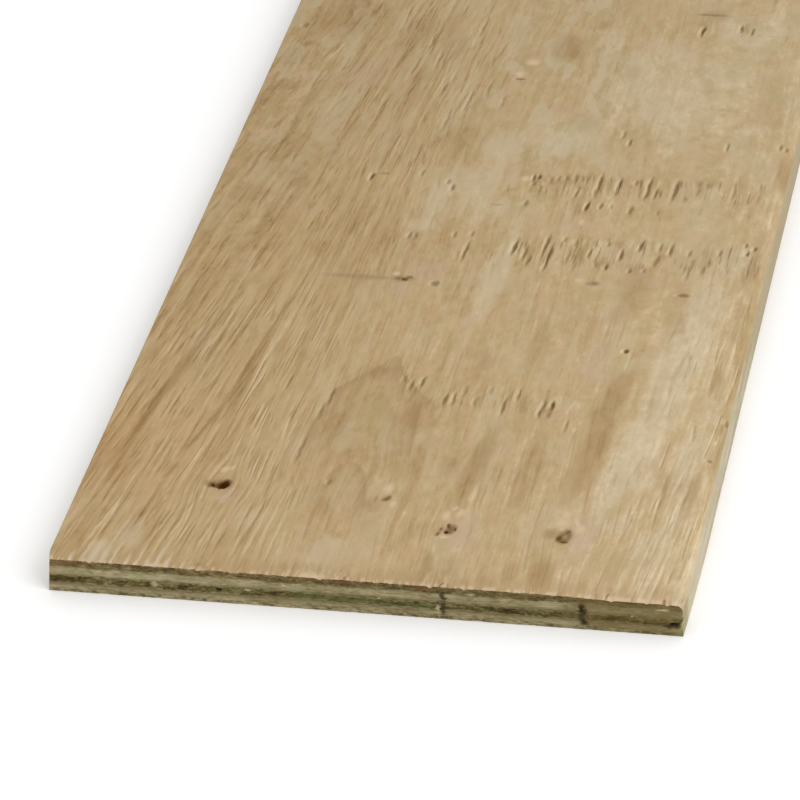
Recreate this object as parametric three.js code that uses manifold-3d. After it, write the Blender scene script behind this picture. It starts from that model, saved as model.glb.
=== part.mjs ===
// A plywood sheet: five softwood veneers glued face to face, each with its grain square to the
// next, ripped to a twelve inch width and cut off at four feet.
// Millimetres. X runs across the face grain, Y along it and Z up. The origin is the middle of
// the underside.

import * as THREE from "three";
import { mergeVertices } from "three/addons/utils/BufferGeometryUtils.js";
import Module from "manifold-3d";

// Sheet
const sheetWidth = 304.8;
const sheetLength = 1219.2;

// Plies, from the underside up
const backThickness = 1.9;
const lowerCrossbandThickness = 3.3;
const centreThickness = 4.1;
const upperCrossbandThickness = 5.1;
const faceThickness = 3.86;

// Long edges: the right arris is rounded over far down the side, the left one only just broken
const rightEasingWidth = 6.5;
const rightEasingHeight = 8.3;
const leftEasingWidth = 0.8;
const leftEasingHeight = 1.2;
const easingSteps = 10;

// Glue lines: the press leaves them slightly uneven from side to side
const glueLineRise = 0.5;
const glueLineWaves = [97, 41, 23];
const glueLineStep = 5;
const glueLinePhase = 1.7;

// Front corners: handling wore the right one back in a long sweep, and the left one in a short
// sweep that dies away towards the underside. Wear is measured at the upper face.
const rightCornerWear = 1.3;
const rightCornerRun = 80;
const rightCornerSlant = 0;
const leftCornerWear = 2;
const leftCornerRun = 13;
const leftCornerSlant = 2;

// Pin knots in the face veneer, measured from the sheet's centreline and its front end. A
// turned knot leans to the right as it goes back.
const pinKnots = [
  { right: -84, back: 72, across: 4.8, along: 9.4, depth: 2.2, turned: 48 },
  { right: 32.6, back: 47.6, across: 5.4, along: 7.2, depth: 1.1, turned: 0 },
  { right: 88.3, back: 47.6, across: 4.6, along: 6.2, depth: 0.9, turned: 0 },
  { right: -1.6, back: 68.7, across: 2.6, along: 4.4, depth: 0.7, turned: 20 },
];

// Nicks that the saw and handling left on the upper front arris
const nickCount = 16;
const nickWidth = 2.6;
const nickLength = 3.4;
const nickDepth = 0.9;
const firstNick = 0.96;

// Longer splinters torn from the lower front arris, where the saw teeth came out
const tearCount = 13;
const tearWidth = 6.5;
const tearLength = 5.2;
const tearDepth = 0.55;
const firstTear = 0.07;

// The smallest nick or tear, as a share of the full size given above
const smallestGouge = 0.4;

// A gap in the core that the front cut opened, measured from the centreline
const coreGapRight = -69;
const coreGapWidth = 2.4;
const coreGapHeight = 1.5;
const coreGapDepth = 11;

// Core wood lost near the front right corner, and the glue line above it sprung open
const lostCoreInset = 5.4;
const lostCoreWidth = 5.2;
const lostCoreHeight = 1.7;
const lostCoreRise = 1;
const lostCoreDepth = 5;
const sprungWidth = 7;
const sprungHeight = 1.1;
const sprungDepth = 9;

// The front right corner of the core, knocked off through two plies
const knockedWidth = 6.4;
const knockedLength = 8;
const knockedHeight = 4.2;
const knockedUp = 6.2;

// Facets round a gouge and along it
const gougeFacetsRound = 16;
const gougeFacetsAlong = 10;

// Values that follow from the sizes above
const halfWidth = sheetWidth / 2;
const halfLength = sheetLength / 2;
const frontEnd = -halfLength;
const plyThicknesses = [
  backThickness,
  lowerCrossbandThickness,
  centreThickness,
  upperCrossbandThickness,
  faceThickness,
];
const plyBottoms = plyThicknesses.map((_, ply) =>
  plyThicknesses.slice(0, ply).reduce((sum, thickness) => sum + thickness, 0),
);
const sheetThickness = plyBottoms.at(-1) + faceThickness;
const centreBottom = plyBottoms[2];
const centreTop = plyBottoms[3];
const goldenShare = (Math.sqrt(5) - 1) / 2;

const wasm = await Module();
wasm.setup();

// A closed three.js geometry as a manifold-3d solid.
function solidFrom(geometry) {
  const bare = geometry.clone();
  bare.deleteAttribute("normal");
  bare.deleteAttribute("uv");
  const merged = mergeVertices(bare);
  return new wasm.Manifold(
    new wasm.Mesh({
      numProp: 3,
      vertProperties: merged.attributes.position.array,
      triVerts: new Uint32Array(merged.index.array),
    }),
  );
}

// A manifold-3d solid as a flat-shaded three.js geometry.
function geometryFrom(solid) {
  const { vertProperties, triVerts } = solid.getMesh();
  const shared = new THREE.BufferGeometry();
  shared.setAttribute("position", new THREE.BufferAttribute(vertProperties, 3));
  shared.setIndex(new THREE.BufferAttribute(triVerts, 1));
  const faceted = shared.toNonIndexed();
  faceted.computeVertexNormals();
  return faceted;
}

// How far an eased side has drawn in at a height: nothing up to the easing, then a quarter
// ellipse that ends in the upper face.
function drawnIn(height, easingWidth, easingHeight) {
  const climbed = (height - (sheetThickness - easingHeight)) / easingHeight;
  if (climbed <= 0) return 0;
  return easingWidth * (1 - Math.sqrt(Math.max(0, 1 - climbed ** 2)));
}

function rightSide(height) {
  return halfWidth - drawnIn(height, rightEasingWidth, rightEasingHeight);
}

function leftSide(height) {
  return drawnIn(height, leftEasingWidth, leftEasingHeight) - halfWidth;
}

// The unevenness of a glue line, from three waves whose phases differ from line to line.
function glueLineWave(right, line) {
  const wave = glueLineWaves.reduce(
    (sum, length, n) =>
      sum + Math.sin((2 * Math.PI * right) / length + line * (n + glueLinePhase)),
    0,
  );
  return (glueLineRise * wave) / glueLineWaves.length;
}

// A line across the sheet's section, from its left side to its right. The outer two are the
// flat faces, and each of the others is shared by the plies above and below it.
function lineAcross(line) {
  const isFace = line === 0 || line === plyThicknesses.length;
  const level = isFace && line > 0 ? sheetThickness : (plyBottoms[line] ?? 0);
  const steps = isFace ? 1 : Math.ceil(sheetWidth / glueLineStep);
  return Array.from({ length: steps + 1 }, (_, step) => {
    const right = -halfWidth + (sheetWidth * step) / steps;
    const height = level + (isFace ? 0 : glueLineWave(right, line));
    if (step === 0) return new THREE.Vector2(leftSide(height), height);
    if (step === steps) return new THREE.Vector2(rightSide(height), height);
    return new THREE.Vector2(right, height);
  });
}

// The points of a side between two heights, both left out.
function sideBetween(side, from, to) {
  const points = [];
  for (let step = 1; step < easingSteps; step++) {
    const height = from + ((to - from) * step) / easingSteps;
    points.push(new THREE.Vector2(side(height), height));
  }
  return points;
}

const linesAcross = Array.from(
  { length: plyThicknesses.length + 1 },
  (_, line) => lineAcross(line),
);

// A ply's section, run out along the whole sheet.
function plySolid(ply) {
  const below = linesAcross[ply];
  const above = linesAcross[ply + 1];
  const outline = [
    ...below,
    ...sideBetween(rightSide, below.at(-1).y, above.at(-1).y),
    ...above.toReversed(),
    ...sideBetween(leftSide, above[0].y, below[0].y),
  ];
  const run = new THREE.ExtrudeGeometry(new THREE.Shape(outline), {
    depth: sheetLength,
    bevelEnabled: false,
    steps: 1,
  });
  run.rotateX(Math.PI / 2);
  run.translate(0, halfLength, 0);
  return solidFrom(run);
}

// A boat-shaped gouge, longest along the grain unless it is turned, in degrees to the right.
function gouge(width, length, height, right, back, up, turned = 0) {
  const shape = new THREE.SphereGeometry(1, gougeFacetsRound, gougeFacetsAlong);
  shape.rotateX(Math.PI / 2);
  shape.scale(width / 2, length / 2, height / 2);
  shape.rotateZ(-THREE.MathUtils.degToRad(turned));
  shape.translate(right, frontEnd + back, up);
  return solidFrom(shape);
}

// The sliver worn off a front corner, through the sheet's whole thickness: its inner face
// sweeps from the worn corner back to where it meets the side, and leans out by the slant on its
// way down to the underside. The rest of it is clear air.
function cornerSliver(side, wear, run, slant) {
  const outline = new THREE.Shape();
  outline.moveTo(side * (halfWidth - wear), frontEnd - wear);
  outline.lineTo(side * (halfWidth - wear), frontEnd);
  outline.quadraticCurveTo(
    side * halfWidth, frontEnd + run / 2, side * halfWidth, frontEnd + run,
  );
  outline.lineTo(side * (halfWidth + wear + slant), frontEnd + run);
  outline.lineTo(side * (halfWidth + wear + slant), frontEnd - wear);
  const sliver = new THREE.ExtrudeGeometry(outline, {
    depth: sheetThickness + 2 * wear,
    bevelEnabled: false,
    steps: 1,
  });
  sliver.translate(side * slant, 0, -wear);
  const leanIn = (-side * slant) / sheetThickness;
  sliver.applyMatrix4(new THREE.Matrix4().makeShear(0, 0, 0, 0, leanIn, 0));
  return solidFrom(sliver);
}

// Gouges scattered along the front arris at one height. Each place and size is a step of the
// golden ratio on from the last, which never repeats or bunches.
function scatteredAlongFront(count, width, length, depth, up, firstPlace) {
  return Array.from({ length: count }, (_, n) => {
    const place = (firstPlace + n * goldenShare) % 1;
    const size = smallestGouge + (1 - smallestGouge) * ((place * count) % 1);
    const right = (place - 0.5) * (sheetWidth - 2 * rightEasingWidth);
    return gouge(width * size, 2 * length * size, 2 * depth * size, right, 0, up);
  });
}

function without(solid, cuts) {
  return cuts.reduce((left, cut) => left.subtract(cut), solid);
}

function pinKnotCuts() {
  return pinKnots.map(({ right, back, across, along, depth, turned }) =>
    gouge(across, along, 2 * depth, right, back, sheetThickness, turned),
  );
}

function coreCuts() {
  const middle = (centreBottom + centreTop) / 2;
  const openGap = gouge(
    coreGapWidth, 2 * coreGapDepth, coreGapHeight, coreGapRight, 0, middle,
  );
  const lostCore = gouge(
    lostCoreWidth, 2 * lostCoreDepth, lostCoreHeight,
    halfWidth - lostCoreInset, 0, centreBottom + lostCoreRise,
  );
  const sprungGlueLine = gouge(
    sprungWidth, 2 * sprungDepth, sprungHeight, halfWidth, 0, centreTop,
  );
  return [openGap, lostCore, sprungGlueLine];
}

function knockedCorner() {
  return gouge(knockedWidth, knockedLength, knockedHeight, halfWidth, 0, knockedUp);
}

const wornCorners = [
  cornerSliver(1, rightCornerWear, rightCornerRun, rightCornerSlant),
  cornerSliver(-1, leftCornerWear, leftCornerRun, leftCornerSlant),
];

const sheet = new THREE.Group();

function addPly(name, solid, color, roughness) {
  const material = new THREE.MeshStandardMaterial({ color, roughness, metalness: 0 });
  const mesh = new THREE.Mesh(geometryFrom(without(solid, wornCorners)), material);
  mesh.name = name;
  sheet.add(mesh);
}

const tears = scatteredAlongFront(tearCount, tearWidth, tearLength, tearDepth, 0, firstTear);
const nicks = scatteredAlongFront(
  nickCount, nickWidth, nickLength, nickDepth, sheetThickness, firstNick,
);

addPly("back_veneer", without(plySolid(0), tears), 0x7d6e4c, 0.75);
addPly("lower_crossband", without(plySolid(1), [knockedCorner()]), 0x8c8260, 0.8);
addPly("centre_veneer", without(plySolid(2), [...coreCuts(), knockedCorner()]), 0x574d2f, 0.85);
addPly("upper_crossband", plySolid(3), 0x887f5e, 0.8);
addPly("face_veneer", without(plySolid(4), [...pinKnotCuts(), ...nicks]), 0xbea67a, 0.65);

export default sheet;
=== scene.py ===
import math

import bmesh
import bpy
from mathutils import Matrix, Vector, noise


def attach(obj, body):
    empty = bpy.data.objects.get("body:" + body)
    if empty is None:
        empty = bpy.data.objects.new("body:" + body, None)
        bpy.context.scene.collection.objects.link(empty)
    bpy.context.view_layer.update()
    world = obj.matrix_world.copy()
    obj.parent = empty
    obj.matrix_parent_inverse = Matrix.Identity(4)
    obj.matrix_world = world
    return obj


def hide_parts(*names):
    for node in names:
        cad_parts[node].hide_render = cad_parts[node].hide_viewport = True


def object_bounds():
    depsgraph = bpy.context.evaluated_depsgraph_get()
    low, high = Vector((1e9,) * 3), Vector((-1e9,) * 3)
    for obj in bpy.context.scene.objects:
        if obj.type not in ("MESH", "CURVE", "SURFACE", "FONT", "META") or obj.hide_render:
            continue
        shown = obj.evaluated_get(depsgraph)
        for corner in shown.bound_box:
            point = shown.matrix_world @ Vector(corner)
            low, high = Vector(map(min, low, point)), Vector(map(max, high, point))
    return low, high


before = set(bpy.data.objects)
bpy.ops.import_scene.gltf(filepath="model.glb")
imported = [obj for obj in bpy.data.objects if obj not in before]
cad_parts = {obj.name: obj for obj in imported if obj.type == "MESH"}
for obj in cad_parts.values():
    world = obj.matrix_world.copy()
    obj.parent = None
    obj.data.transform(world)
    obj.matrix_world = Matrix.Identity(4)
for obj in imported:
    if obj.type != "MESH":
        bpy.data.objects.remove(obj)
cad_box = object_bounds()


# ---- Back veneer ----
# The lowest of five softwood veneers: a thin sheet that a lathe peeled off the log, laid with
# its grain along the sheet and left unsanded. The saw tore short splinters from its front arris.

mm = 0.001
lowest, highest = cad_box
sheet_width = highest.x - lowest.x
sheet_length = highest.y - lowest.y
sheet_thickness = highest.z - lowest.z
half_width = sheet_width / 2
front_end = lowest.y

# The five veneers' thicknesses, from the back up, and the height of each glue line between them.
veneer_thicknesses = [1.9 * mm, 3.3 * mm, 4.1 * mm, 5.1 * mm, 3.86 * mm]
line_levels = [sum(veneer_thicknesses[:line]) for line in range(5)] + [sheet_thickness]

# The press leaves the glue lines slightly uneven from side to side.
glue_line_rise = 0.5 * mm
glue_line_waves = [97 * mm, 41 * mm, 23 * mm]
glue_line_phase = 1.7

# Long edges: the right arris is rounded far down the side, the left one is only just broken.
right_easing_width = 6.5 * mm
right_easing_height = 8.3 * mm
left_easing_width = 0.8 * mm
left_easing_height = 1.2 * mm

# Front corners, worn back in a sweep: how far at the upper face, how far along, and how much of
# the wear has died away at the underside.
right_corner = (1.3 * mm, 80 * mm, 0)
left_corner = (2 * mm, 13 * mm, 2 * mm)

# Columns across every veneer, and how far in from a long edge they crowd up to follow it.
veneer_columns = 320
edge_crowding = 13 * mm

# A veneer starts as a grid from -1 to 1, and what lies further out than this is on its rim.
grid_rim = 0.999


def glue_line(right, line):
    """The height of a glue line, or of an outer face, at a distance right of the centreline."""
    if line in (0, 5):
        return line_levels[line]
    wave = sum(
        math.sin(math.tau * right / length + line * (n + glue_line_phase))
        for n, length in enumerate(glue_line_waves)
    )
    return line_levels[line] + glue_line_rise * wave / len(glue_line_waves)


def drawn_in(height, easing_width, easing_height):
    """How far in from its flat an eased long side stands at a height."""
    climbed = (height - sheet_thickness + easing_height) / easing_height
    if climbed <= 0:
        return 0
    return easing_width * (1 - math.sqrt(max(0, 1 - climbed**2)))


def corner_wear(back, height, wear, run, slant):
    """How far in from its flat a long side is worn, near a front corner."""
    return wear * max(0, 1 - back / run) ** 2 - slant * (1 - height / sheet_thickness)


def side_places(height, back):
    """Where the left and the right side stand at a height and a distance from the front end."""
    left = drawn_in(height, left_easing_width, left_easing_height)
    right = drawn_in(height, right_easing_width, right_easing_height)
    left = max(left, corner_wear(back, height, *left_corner))
    right = max(right, corner_wear(back, height, *right_corner))
    return left - half_width, half_width - right


def stations(*stretches):
    """Distances from the front end. Each stretch runs up to a place in steps of one length."""
    places = [0.0]
    for end, step in stretches:
        start = places[-1]
        count = max(1, round((end - start) / step))
        places += [start + (end - start) * (n + 1) / count for n in range(count)]
    return places


def saw_veneer(ply, levels, backs, glued, bunched=False):
    """A veneer as a closed bmesh with its front end at zero: the sawn end is a grid, drawn out
    along the sheet, and a long face is cut into rows unless it is glued, below (-1) or above (1).
    Bunched levels crowd up to the top. Long faces get finish 0, the ends 1 and the sides 2."""
    veneer = bmesh.new()
    bmesh.ops.create_grid(veneer, x_segments=veneer_columns, y_segments=levels, size=1)
    bmesh.ops.rotate(veneer, verts=veneer.verts, matrix=Matrix.Rotation(math.pi / 2, 3, "X"))
    drawn = bmesh.ops.extrude_face_region(veneer, geom=veneer.faces[:])["geom"]
    rows = len(backs) - 1
    far_end = [part for part in drawn if isinstance(part, bmesh.types.BMVert)]
    bmesh.ops.translate(veneer, verts=far_end, vec=(0, rows, 0))
    long_edges = []
    for edge in veneer.edges:
        start, end = (vert.co for vert in edge.verts)
        runs_back = abs(start.y - end.y) > 0.5
        at_side = abs(start.x) > grid_rim
        if runs_back and (at_side or round(start.z, 3) not in glued):
            long_edges.append(edge)
    bmesh.ops.subdivide_edges(veneer, edges=long_edges, cuts=rows - 1, use_grid_fill=True)
    bmesh.ops.recalc_face_normals(veneer, faces=veneer.faces)
    for face in veneer.faces:
        corners = [vert.co for vert in face.verts]
        at_end = {round(co.y) for co in corners} in ({0}, {rows})
        at_side = all(abs(co.x) > grid_rim for co in corners)
        face.material_index = 1 if at_end else 2 if at_side else 0
        face.smooth = True
    for edge in veneer.edges:
        if len({face.material_index for face in edge.link_faces}) > 1:
            edge.smooth = False
    level_layer = veneer.verts.layers.float.new("level")
    glued_layer = veneer.verts.layers.float.new("glued_above")
    for vert in veneer.verts:
        vert[glued_layer] = 1 in glued
        level = (vert.co.z + 1) / 2
        if bunched:
            level = math.sin(level * math.pi / 2)
        back = backs[round(vert.co.y)]
        right = vert.co.x * half_width
        bottom = glue_line(right, ply)
        height = bottom + (glue_line(right, ply + 1) - bottom) * level
        left_side, right_side = side_places(height, back)
        near_left = max(0, 1 - (right + half_width) / edge_crowding)
        near_right = max(0, 1 - (half_width - right) / edge_crowding)
        right += (left_side + half_width) * near_left - (half_width - right_side) * near_right
        vert.co = Vector((right, back, height))
        vert[level_layer] = level
    return veneer


def unevenness(right, along, width, length, seed):
    """A smooth random value from about -1 to 1, in waves so wide and so long in millimetres."""
    return noise.noise(Vector((right / (width * mm), along / (length * mm), seed)))


# What the cross-cut saw tore out of the ends: fine roughness all over, deeper in soft wood.
saw_roughness = 0.32 * mm
roughness_reach = 3 * mm

# Wood further than this from an end is left alone. A pit reaches in by this many of its depths.
end_zone = 40 * mm
pit_reach = 2.6


def torn_depth(right, height, seed):
    """How deep the saw left the wood below the flat of an end, from 0 up."""
    scored = unevenness(right, height, 0.8, 1.1, seed)
    torn = unevenness(right, height, 6, 1.6, seed + 9)
    return saw_roughness * (0.35 + 0.3 * scored + 0.5 * max(0, torn))


def push_in(back, depth, reach):
    """A place near an end once the end is pushed in by a depth that dies out within a reach."""
    return back + depth * max(0, 1 - back / reach) ** 2


def weather_ends(veneer, hollows=()):
    """Roughens both sawn ends. Each hollow is a further pit in the front end: its place right
    and up, its half width and half height, and its depth."""
    for vert in veneer.verts:
        right, back, height = vert.co
        behind = sheet_length - back
        if back < end_zone:
            vert.co.y = push_in(back, torn_depth(right, height, seed=0), roughness_reach)
            for hollow_right, hollow_up, half_across, half_up, depth in hollows:
                off = math.hypot((right - hollow_right) / half_across, (height - hollow_up) / half_up)
                if off < 1:
                    pit = depth * math.sqrt(1 - off * off)
                    vert.co.y = push_in(vert.co.y, pit, pit_reach * depth)
        elif behind < end_zone:
            pushed = push_in(behind, torn_depth(right, height, seed=40), roughness_reach)
            vert.co.y = sheet_length - pushed


# Splinters are spread by the golden section, and the smallest is this share of the largest.
golden_share = (math.sqrt(5) - 1) / 2
smallest_splinter = 0.4


def splinters(count, first_place):
    """Where splinters sit along an arris, right of the centreline, and their sizes."""
    for n in range(count):
        place = (first_place + n * golden_share) % 1
        size = smallest_splinter + (1 - smallest_splinter) * ((place * count) % 1)
        yield (place - 0.5) * (sheet_width - 2 * right_easing_width), size


def splintered(right, back, broken, width, length, depth):
    """How much an arris is broken away at a place, by boat-shaped splinters."""
    deepest = 0
    for place, size in broken:
        off = ((right - place) / (width / 2 * size)) ** 2 + (back / (length * size)) ** 2
        if off < 1:
            deepest = max(deepest, depth * size * math.sqrt(1 - off))
    return deepest


# How bright the studio makes a white surface that looks up, and one that looks to the front, so
# that colours picked on a screen come out alike.
studio_light = 1.195
end_light = 0.99


def from_display(red, green, blue, light=studio_light):
    """A colour picked on a screen, from 0 to 255, as what the surface reflects."""
    return [((part / 255 + 0.055) / 1.055) ** 2.4 / light for part in (red, green, blue)]


# An oval mark fades in from this far out to this far in, as shares of its half width.
oval_outside = 1.2
oval_inside = 0.3


class Tone:
    """A value or colour that varies over a finish. A sum on it adds Math nodes to the finish."""

    def __init__(self, socket):
        self.socket = socket

    def node(self, kind, settings, sockets, output=0):
        """Any other node: its settings are set first, then its sockets' values or links."""
        tree = self.socket.id_data
        added = tree.nodes.new(kind)
        for name, value in settings.items():
            if name == "stops":
                ramp = added.color_ramp.elements
                while len(ramp) < len(value):
                    ramp.new(1)
                for stop, (place, colour) in zip(ramp, value):
                    stop.position = place
                    stop.color = (*colour, 1)
            else:
                setattr(added, name, value)
        for name, value in sockets.items():
            if isinstance(value, Tone):
                tree.links.new(value.socket, added.inputs[name])
            else:
                added.inputs[name].default_value = value
        return Tone(added.outputs[output])

    def maths(self, operation, *values):
        return self.node("ShaderNodeMath", {"operation": operation}, dict(enumerate(values)))

    def __add__(self, other):
        return self.maths("ADD", self, other)

    __radd__ = __add__

    def __sub__(self, other):
        return self.maths("SUBTRACT", self, other)

    def __rsub__(self, other):
        return self.maths("SUBTRACT", other, self)

    def __mul__(self, other):
        return self.maths("MULTIPLY", self, other)

    __rmul__ = __mul__

    def __abs__(self):
        return self.maths("ABSOLUTE", self)

    def at_least(self, other):
        return self.maths("MAXIMUM", self, other)

    def eased(self, low, high):
        """0 at low, 1 at high and eased between, whichever of the two is the larger."""
        return self.node(
            "ShaderNodeMapRange", {"interpolation_type": "SMOOTHSTEP"},
            {"Value": self, "From Min": low, "From Max": high},
        )

    def coloured(self, *stops):
        """The colour for this value, run between stops: each a value, and what reflects there."""
        return self.node("ShaderNodeValToRGB", {"stops": stops}, {0: self})

    def stained(self, light, *coats):
        """This colour with others over it in turn, each picked on a screen under this light and
        laid on by an amount from 0 to 1."""
        colour = self
        for tint, amount in coats:
            sockets = {0: amount, 6: colour, 7: (*from_display(*tint, light), 1)}
            colour = self.node("ShaderNodeMix", {"data_type": "RGBA"}, sockets, output=2)
        return colour

    def carried(self, name):
        """A value that the mesh carries on its vertices."""
        return self.node("ShaderNodeAttribute", {"attribute_name": name}, {}, output=2)

    def flat(self, other):
        """The flat place with this value to the right and the other one along."""
        return self.node("ShaderNodeCombineXYZ", {}, {0: self, 1: other})

    def streaks(self, across, length, width, seed, detail=2, roughness=0.55):
        """Wood fibres along this value, so long and so wide, from 0 to 1. Each seed has its own."""
        place = (self * (1 / length) + seed * 7.31).flat(across * (1 / width) + seed * 3.7)
        return self.node(
            "ShaderNodeTexNoise", {"noise_dimensions": "2D"},
            {"Vector": place, "Scale": 1.0, "Detail": detail, "Roughness": roughness},
        )

    def oval(self, right, along, half_across, half_along, strength):
        """How deep in an oval this flat place is: 0 outside it, and its strength near its middle."""
        placed = self.node("ShaderNodeVectorMath", {"operation": "MULTIPLY_ADD"}, {
            0: self,
            1: (1 / half_across, 1 / half_along, 0),
            2: (-right / half_across, -along / half_along, 0),
        })
        off = placed.node("ShaderNodeVectorMath", {"operation": "LENGTH"}, {0: placed}, output=1)
        return off.node(
            "ShaderNodeMapRange", {"interpolation_type": "SMOOTHSTEP"},
            {"Value": off, "From Min": oval_outside, "From Max": oval_inside, "To Max": strength},
        )


def start_finish(name):
    """A new finish, and its right, back and up places in millimetres."""
    finish = bpy.data.materials.new(name)
    finish.use_nodes = True
    finish.node_tree.nodes["Principled BSDF"].inputs["Specular IOR Level"].default_value = 0.03
    place = Tone(finish.node_tree.nodes.new("ShaderNodeTexCoord").outputs["Object"])
    return finish, [place.node("ShaderNodeSeparateXYZ", {}, {0: place}, n) * (1 / mm) for n in range(3)]


def complete_finish(finish, colour, roughness, relief, relief_depth):
    """Joins a colour, a roughness and a relief to the finish's surface."""
    surface = finish.node_tree.nodes["Principled BSDF"]
    bump = relief.node(
        "ShaderNodeBump", {}, {"Height": relief, "Strength": 1.0, "Distance": relief_depth},
    )
    for socket, tone in (("Base Color", colour), ("Roughness", roughness), ("Normal", bump)):
        finish.node_tree.links.new(tone.socket, surface.inputs[socket])
    return finish


# From the middle of the sheet back to its front end, in millimetres.
front_place = -front_end / mm

# Marks on the front end: loose pale fibres, stains, two saw-line ticks, and painted shade in holes and
# gaps.
# Each is an oval: place right and up, half width, half height and strength, in millimetres and shares.
end_stains_and_shade = [
    ((206, 192, 156), [
        (152.6, 5.8, 3, 2.6, 0.9), (142, 14, 3.4, 0.6, 0.5), (128, 9.8, 1, 0.6, 0.4),
        (36.2, 6, 1.4, 2.4, 0.5), (-66, 10.6, 1.2, 0.6, 0.4), (-100.4, 8.2, 1.8, 1.8, 0.4),
        (-37, 12, 2.2, 0.8, 0.5), (8, 9.4, 1.2, 1, 0.4), (52, 15, 2, 0.8, 0.4), (-112, 11, 3.4, 1, 0.35),
        (-128, 12.5, 3, 1.2, 0.3), (-55, 8.6, 1.6, 1, 0.45),
    ]),
    ((150, 152, 96), [
        (149, 3, 4, 1.6, 0.35), (-108, 11.5, 5, 2.2, 0.35), (-60, 7.6, 3.6, 2.2, 0.3),
    ]),
    ((118, 82, 54), [
        (-8, 16.8, 13, 1.3, 0.45), (31, 16.6, 9, 1.3, 0.45), (-140, 16.6, 8, 1.3, 0.35),
    ]),
    ((46, 36, 24), [
        (104.1, 8.8, 1.7, 9, 0.5), (104.2, 11.2, 2.4, 3.4, 1), (105, 4, 2, 2, 0.9),
        (38.6, 9, 1.3, 8.4, 0.55), (38.4, 12.8, 2, 1.8, 0.75), (38.8, 4, 1.8, 2.4, 0.6),
    ]),
    # Near-black: painted shade in the holes and gaps of the end, over the pits where the sheet has them.
    ((44, 34, 12), [
        (-69, 7.3, 1.8, 1.3, 0.95), (145.4, 5.3, 5, 1.3, 0.8), (118, 7, 6, 0.9, 0.5),
        (127, 6.2, 3.6, 0.9, 0.4), (138, 6.2, 7, 1, 0.4), (-150, 6.6, 4, 1.6, 0.5),
        (-116.6, 6.6, 1.6, 2.2, 0.45), (-84, 6.6, 4, 1.4, 0.4), (-97, 17, 5, 1.2, 0.4),
        (70, 7, 8, 1.2, 0.35), (16, 6.8, 10, 1.3, 0.4), (58, 16.4, 9, 1.2, 0.3),
    ]),
]


# Behind the front end the marks are moved off the sheet, by this many millimetres.
out_of_sight = 1000


def end_marks(colour, right, back, up):
    """Lays the marks on the front end over a colour, with painted shade in its holes and gaps."""
    off_front = (back + front_place).eased(20, 30) * out_of_sight
    bent = right + (right.streaks(up, 4, 2, 31) - 0.5) * 4
    raised = up + (right.streaks(up, 5, 3, 32) - 0.5) * 3 + off_front
    place = bent.flat(raised)
    for tint, marks in end_stains_and_shade:
        colour = colour.stained(end_light, *((tint, place.oval(*mark)) for mark in marks))
    return colour


def end_grain(name, dark, light, gap, neighbour):
    """A veneer cut across its fibres: pores, torn pits, and patches where the stain took."""
    finish, (right, back, up) = start_finish(name)
    along = right + back
    below = sheet_thickness / mm - up
    level = right.carried("level")
    pores = along.streaks(up, 2, 0.8, 1, detail=3)
    torn = along.streaks(up, 5, 2.4, 3, detail=3)
    patch = along.streaks(up, 17, 9, 4)
    tone = 0.5 + (pores - 0.5) * 1.1 + (torn - 0.5) * 1.3 + (patch - 0.5) * 0.7
    colour = tone.coloured(
        (0.22, from_display(*dark, end_light * 2)), (0.42, from_display(*dark, end_light)),
        (0.66, from_display(*light, end_light)), (0.90, from_display(*gap, end_light)),
    )
    worn_end = right.eased(98, 112) * up.eased(14.4, 15.2) * below.eased(1.6, 3)
    greened = right.eased(-100, -30) * right.eased(112, 90) * up.eased(11, 9) * up.eased(3, 5)
    overhang = (along.streaks(up, 5, 40, 21, detail=4, roughness=0.6) - 0.5) * 5 + 0.4
    left_red = right.eased(-124, -150) * along.streaks(up, 9, 5, 12).eased(0.40, 0.60)
    rim = level.eased(0.24, 0) + level.eased(0.78, 1) * right.carried("glued_above")
    lapped = 0.7 - up.eased(12, 14) * 0.35
    colour = colour.stained(
        end_light,
        # Browner just under the face, and where the right corner is worn.
        ((140, 118, 82), up.eased(14, 15.4) * 0.12),
        ((120, 105, 69), worn_end * 0.6),
        # Green from preservative, and pale fibres of the face that hang over the end.
        ((76, 88, 50), greened * patch.eased(0.38, 0.62) * 0.45),
        ((184, 162, 124), (overhang - below).eased(0, 1.2) * 0.7),
        # Red and dark at the left corner.
        ((116, 80, 56), left_red * up.eased(12, 14) * 0.5),
        ((66, 56, 18), left_red * up.eased(11, 9) * up.eased(1.2, 3) * 0.7),
        # The next veneer's colour at the glue lines, and darker towards the right corner.
        (neighbour, rim * along.streaks(up, 3, 1.1, 8).eased(0.42, 0.58) * lapped),
        ((92, 76, 40), right.eased(88, 112) * 0.4),
    )
    colour = end_marks(colour, right, back, up)
    return complete_finish(finish, colour, 0.9 - pores * 0.1, pores * 0.6 + torn, 0.5 * mm)


def ripped_edge(name, shade):
    """A veneer at the long edges: dry, pale and greyed by handling, with a green cast in places."""
    finish, (_, back, up) = start_finish(name)
    from_front = back + front_place
    fibre = back.streaks(up, 7, 0.9, 1, detail=3)
    patch = back.streaks(up, 60, 9, 2, detail=3)
    tone = 0.5 + (fibre - 0.5) * 0.45 + (patch - 0.5) * 1.1
    colour = tone.coloured(
        (0.20, from_display(178, 162, 132, studio_light / shade)),
        (0.50, from_display(202, 189, 163, studio_light / shade)),
        (0.80, from_display(214, 203, 180, studio_light / shade)),
    )
    colour = colour.stained(
        studio_light,
        # A green cast in places.
        ((184, 180, 142), back.streaks(up, 26, 8, 5).eased(0.52, 0.66) * 0.4),
        # Tanned far back, pale near the front, and brown just behind the end.
        ((178, 162, 130), from_front.eased(190, 270) * 0.75),
        ((208, 197, 168), from_front.eased(110, 10) * 0.6),
        ((158, 144, 108), from_front.eased(18, 8) * 0.7),
        # The face's colour where it comes over the arris.
        ((188, 166, 122), up.eased(12, 17) * from_front.eased(60, 150) * 0.6),
    )
    return complete_finish(finish, colour, 0.85 - fibre * 0.1, fibre + patch, 0.3 * mm)


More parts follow.
